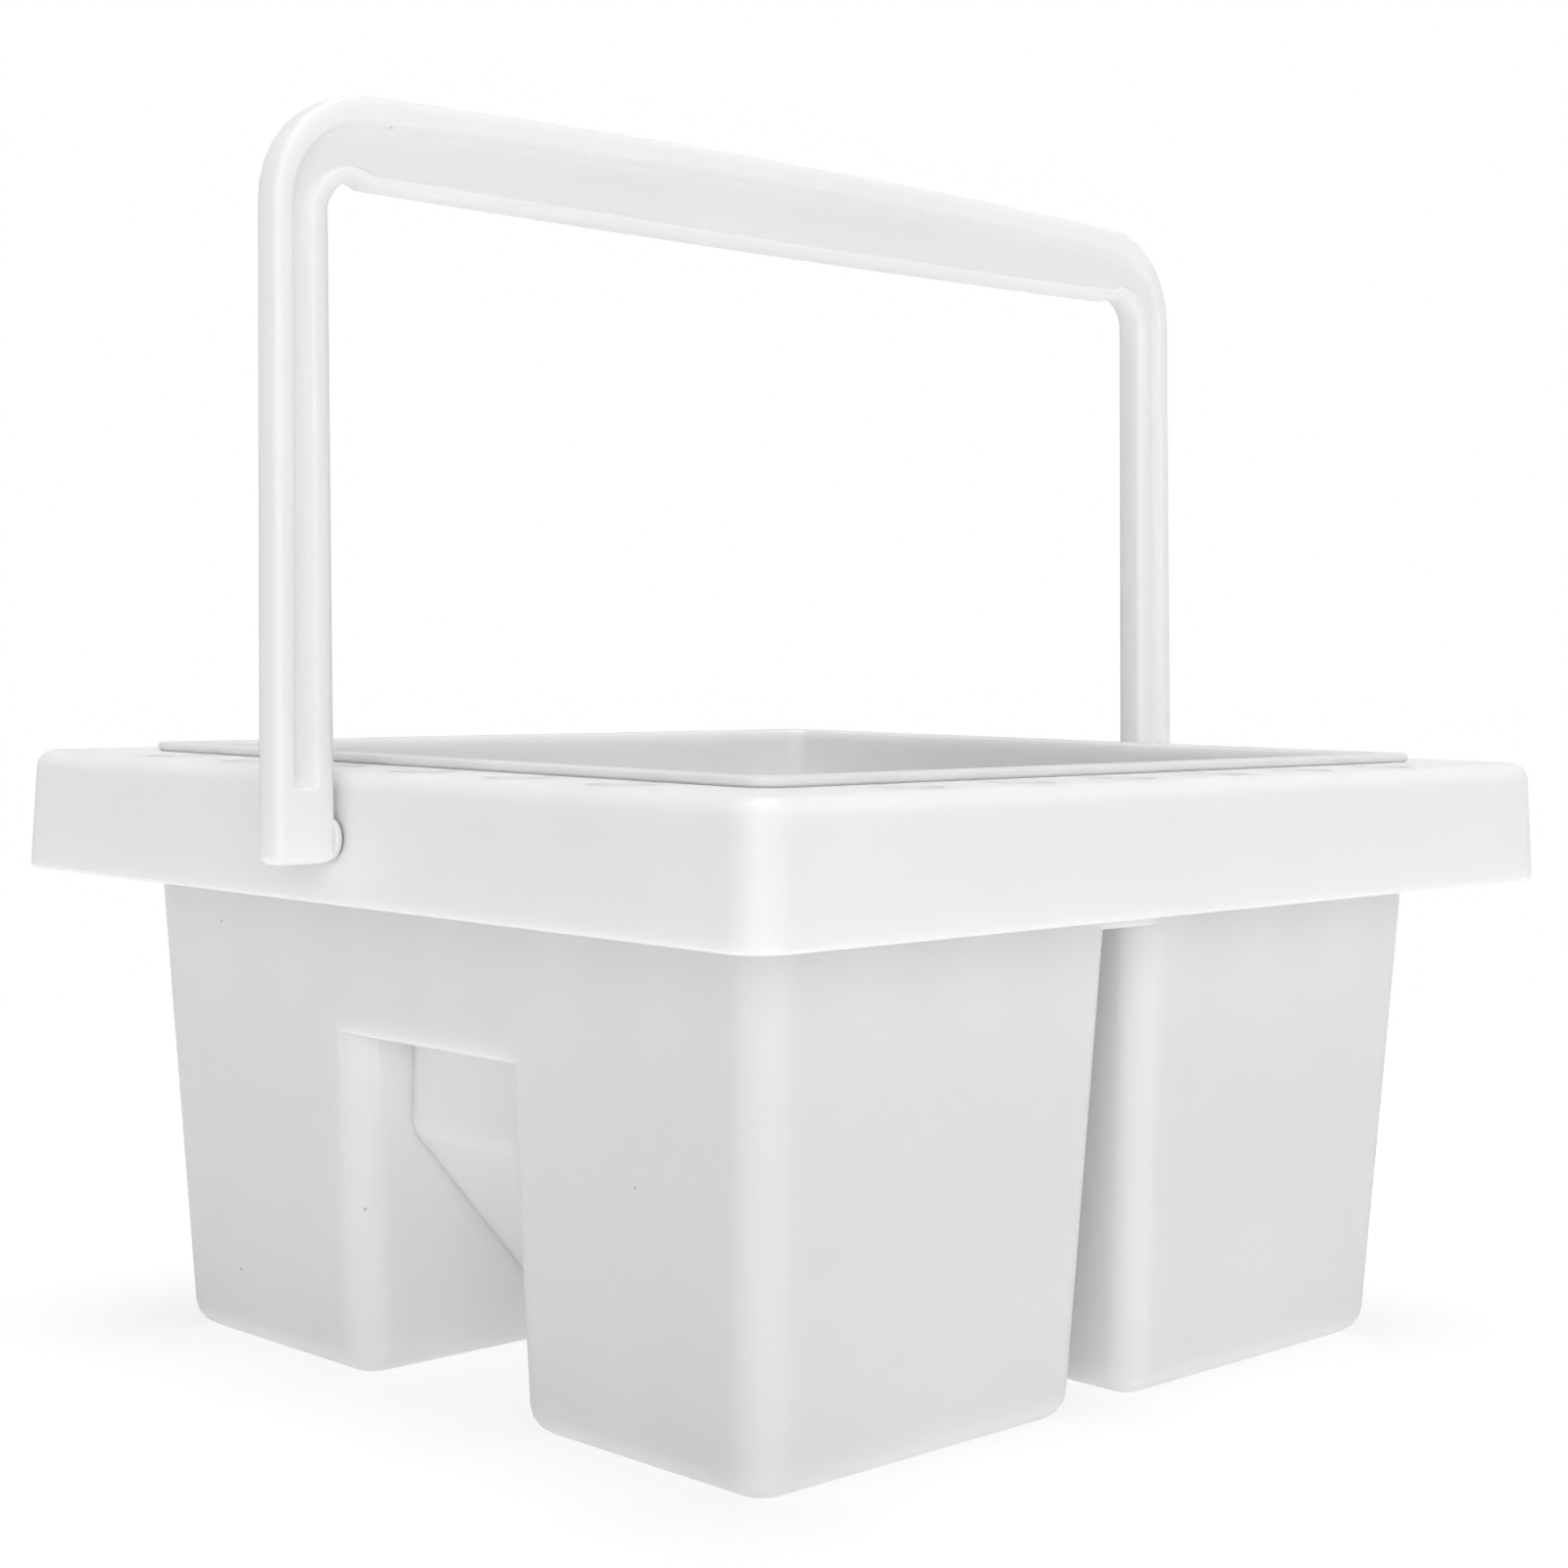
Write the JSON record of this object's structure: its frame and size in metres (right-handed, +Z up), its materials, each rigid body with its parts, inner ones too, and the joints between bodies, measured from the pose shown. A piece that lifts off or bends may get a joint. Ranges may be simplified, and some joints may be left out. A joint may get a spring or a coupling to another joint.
{
  "type": "brush washer with lid",
  "caption": "Square white plastic tub with separate drafted wells, brush holes along its rim, a palette lid that lifts off and a swing handle.",
  "frame": {"origin": "on the surface that the tub stands on, at the middle of its footprint", "axes": "+Z up. +X runs along the handle's grip and pivot axis, across the wells. -Y is the front, where the slot between the wells opens."},
  "size_m": [0.184, 0.165, 0.1777],
  "materials": {
    "tub_plastic": "satin moulded white polypropylene",
    "lid_plastic": "satin moulded white polypropylene",
    "handle_plastic": "satin moulded white polypropylene"
  },
  "bodies": {
    "tub": {"tub": "tub_plastic"},
    "lid": {"lid": "lid_plastic"},
    "handle": {"handle": "handle_plastic"}
  },
  "joints": [
    {"name": "handle_swing", "type": "hinge", "parent": "tub", "child": "handle", "pos_m": [0, 0, 0.079], "axis": [1, 0, 0], "range_deg": [-120, 120]},
    {"name": "lid_lift", "type": "slide", "parent": "tub", "child": "lid", "axis": [0, 0, 1], "range_m": [0, 0.06]}
  ]
}
